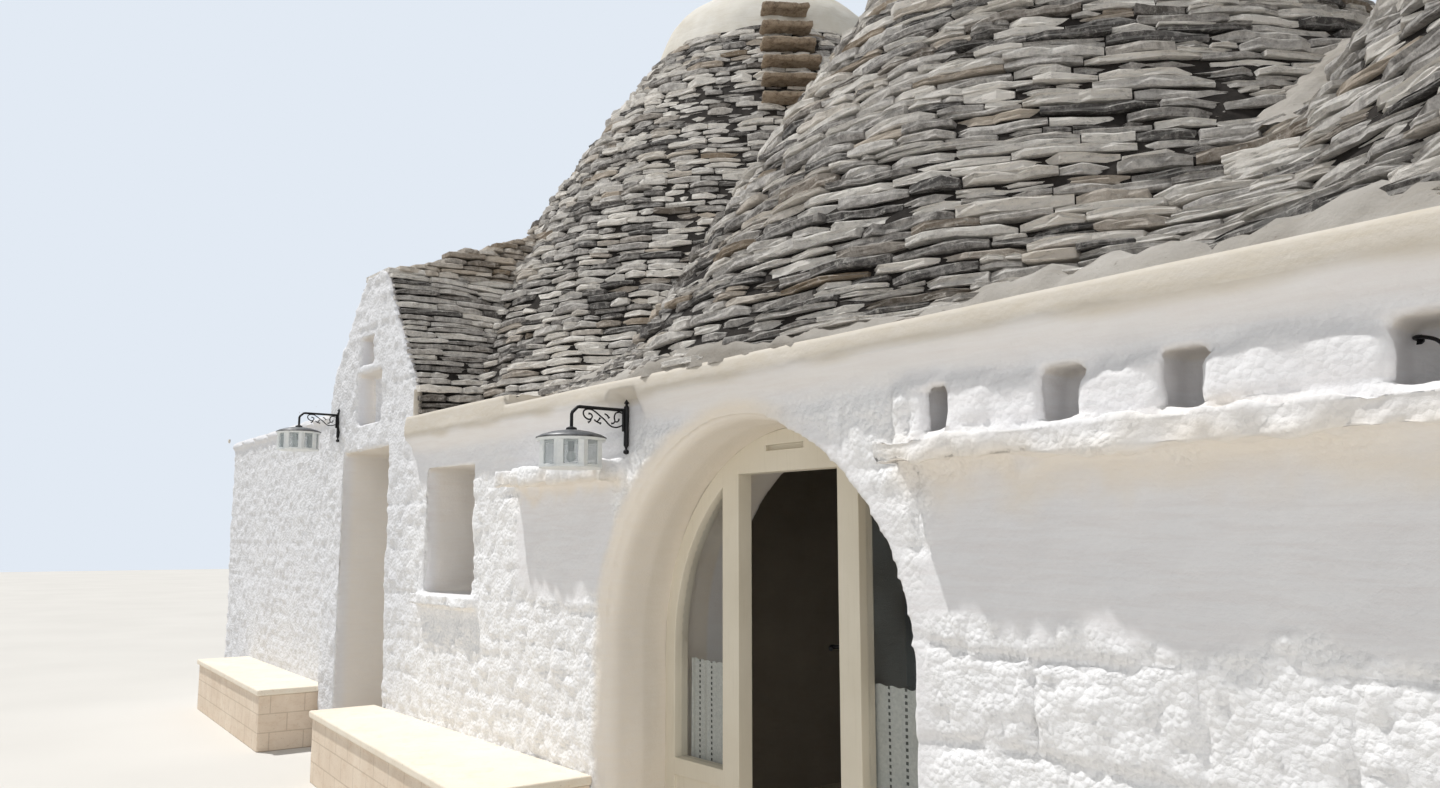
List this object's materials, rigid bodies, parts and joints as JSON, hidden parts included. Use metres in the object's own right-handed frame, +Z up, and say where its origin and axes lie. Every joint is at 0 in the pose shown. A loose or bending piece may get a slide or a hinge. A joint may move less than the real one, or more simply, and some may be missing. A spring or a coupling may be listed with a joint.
{
  "type": "trullo house",
  "caption": "Low whitewashed stone house under merged dry-stone cone roofs, with a stone-roofed gable, an arched glazed door that opens, stone benches and wall lanterns.",
  "frame": {"origin": "middle of the house's box on the ground", "axes": "+X along the front to the right, +Y into the house, +Z up"},
  "size_m": [15.74, 7.74, 6.938],
  "materials": {
    "whitewash": "matte",
    "grey_stone": "matte",
    "cream_stone": "matte",
    "cream_timber": "satin",
    "pane_glass": "gloss",
    "net_fabric": "matte",
    "black_iron": "satin",
    "white_metal": "satin"
  },
  "bodies": {
    "house": {"floor_slabs": "cream_stone", "front_wall_left": "whitewash", "front_wall_middle": "whitewash", "arch_wall": "whitewash", "front_wall_right": "whitewash", "left_end_wall": "whitewash", "right_end_wall": "whitewash", "back_wall_left": "whitewash", "back_wall_right": "whitewash", "annex_cross_wall": "whitewash", "left_cross_wall": "whitewash", "right_cross_wall": "whitewash", "roof_deck": "grey_stone", "annex_parapet": "whitewash", "annex_coping": "cream_stone", "middle_coping": "cream_stone", "front_coping": "cream_stone", "back_coping": "cream_stone", "cone_left": "grey_stone", "cone_middle": "grey_stone", "cone_right": "grey_stone", "cone_caps": "whitewash", "pinnacles": "whitewash", "cone_steps": "grey_stone", "gable_wall": "whitewash", "gable_roof": "grey_stone", "wall_ledges": "whitewash", "bench_bases": "cream_stone", "bench_seats": "cream_stone", "arch_door_frame": "cream_timber", "sidelight_glass": "pane_glass", "net_curtains": "net_fabric", "frame_hinges": "black_iron", "gable_door_frame": "cream_timber", "gable_door": "cream_timber", "window_frame": "cream_timber", "window_glass": "pane_glass", "window_sill": "whitewash", "lamp_brackets": "black_iron", "lanterns": "white_metal", "lantern_glass": "pane_glass"},
    "door": {"door_leaf": "cream_timber", "leaf_hinges": "black_iron", "door_leaf_glass": "pane_glass", "door_handle": "black_iron"}
  },
  "joints": [
    {"name": "door_hinge", "type": "hinge", "parent": "house", "child": "door", "pos_m": [1.34, -2.76, 0.9], "axis": [0, 0, -1], "range_deg": [-43, 52]}
  ]
}
